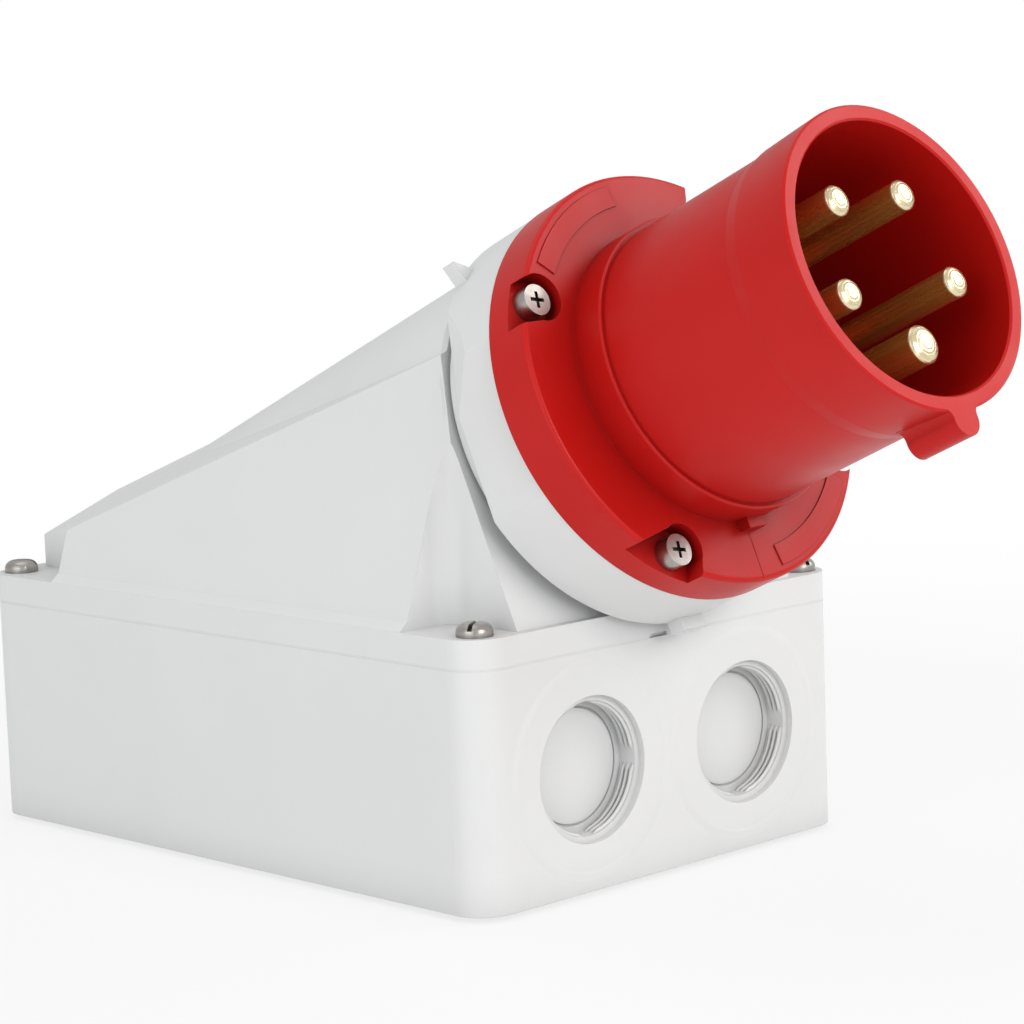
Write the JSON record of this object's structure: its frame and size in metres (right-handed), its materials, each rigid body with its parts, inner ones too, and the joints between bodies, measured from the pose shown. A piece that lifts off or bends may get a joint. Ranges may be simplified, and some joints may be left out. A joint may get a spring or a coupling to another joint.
{
  "type": "wall-mounted industrial power inlet",
  "caption": "Wall-mounted red five-pin industrial power inlet: light grey screwed box, sloped hood, tilted adapter ring, round red shroud with key rib and brass pins",
  "frame": {"origin": "Centre of the flat back of the box, in the wall plane", "axes": "+X is right seen from in front of the inlet face, with the wall behind and the entries below; +Y runs up the wall away from the cable entries; +Z points away from the wall"},
  "size_m": [0.1376, 0.304, 0.1971],
  "materials": {
    "housing_grey": "smooth moulded light grey plastic",
    "inlet_red": "satin moulded red plastic",
    "carrier_black": "dark moulded plastic",
    "gasket_black": "soft black seal rubber",
    "pin_brass": "turned brass with fine lathe marks",
    "terminal_brass": "sawn and drilled brass",
    "screw_steel": "zinc plated steel"
  },
  "bodies": {
    "root": {"rear_box": "housing_grey", "cover_gasket": "gasket_black", "cover_hood": "housing_grey", "mouth_gasket": "gasket_black", "adapter_ring": "housing_grey", "flange_gasket": "gasket_black", "inlet_body": "inlet_red", "contact_carrier": "carrier_black", "pin_l1": "pin_brass", "pin_l2": "pin_brass", "pin_l3": "pin_brass", "pin_neutral": "pin_brass", "pin_earth": "pin_brass", "terminal_l1": "terminal_brass", "terminal_l2": "terminal_brass", "terminal_l3": "terminal_brass", "terminal_neutral": "terminal_brass", "terminal_earth": "terminal_brass", "terminal_screw_l1": "screw_steel", "terminal_screw_l2": "screw_steel", "terminal_screw_l3": "screw_steel", "terminal_screw_neutral": "screw_steel", "terminal_screw_earth": "screw_steel", "flange_screw_1": "screw_steel", "flange_screw_2": "screw_steel", "flange_screw_3": "screw_steel", "flange_screw_4": "screw_steel", "cover_screw_1": "screw_steel", "cover_screw_2": "screw_steel", "cover_screw_3": "screw_steel", "cover_screw_4": "screw_steel", "cover_insert_1": "terminal_brass", "cover_insert_2": "terminal_brass", "cover_insert_3": "terminal_brass", "cover_insert_4": "terminal_brass"}
  },
  "joints": []
}
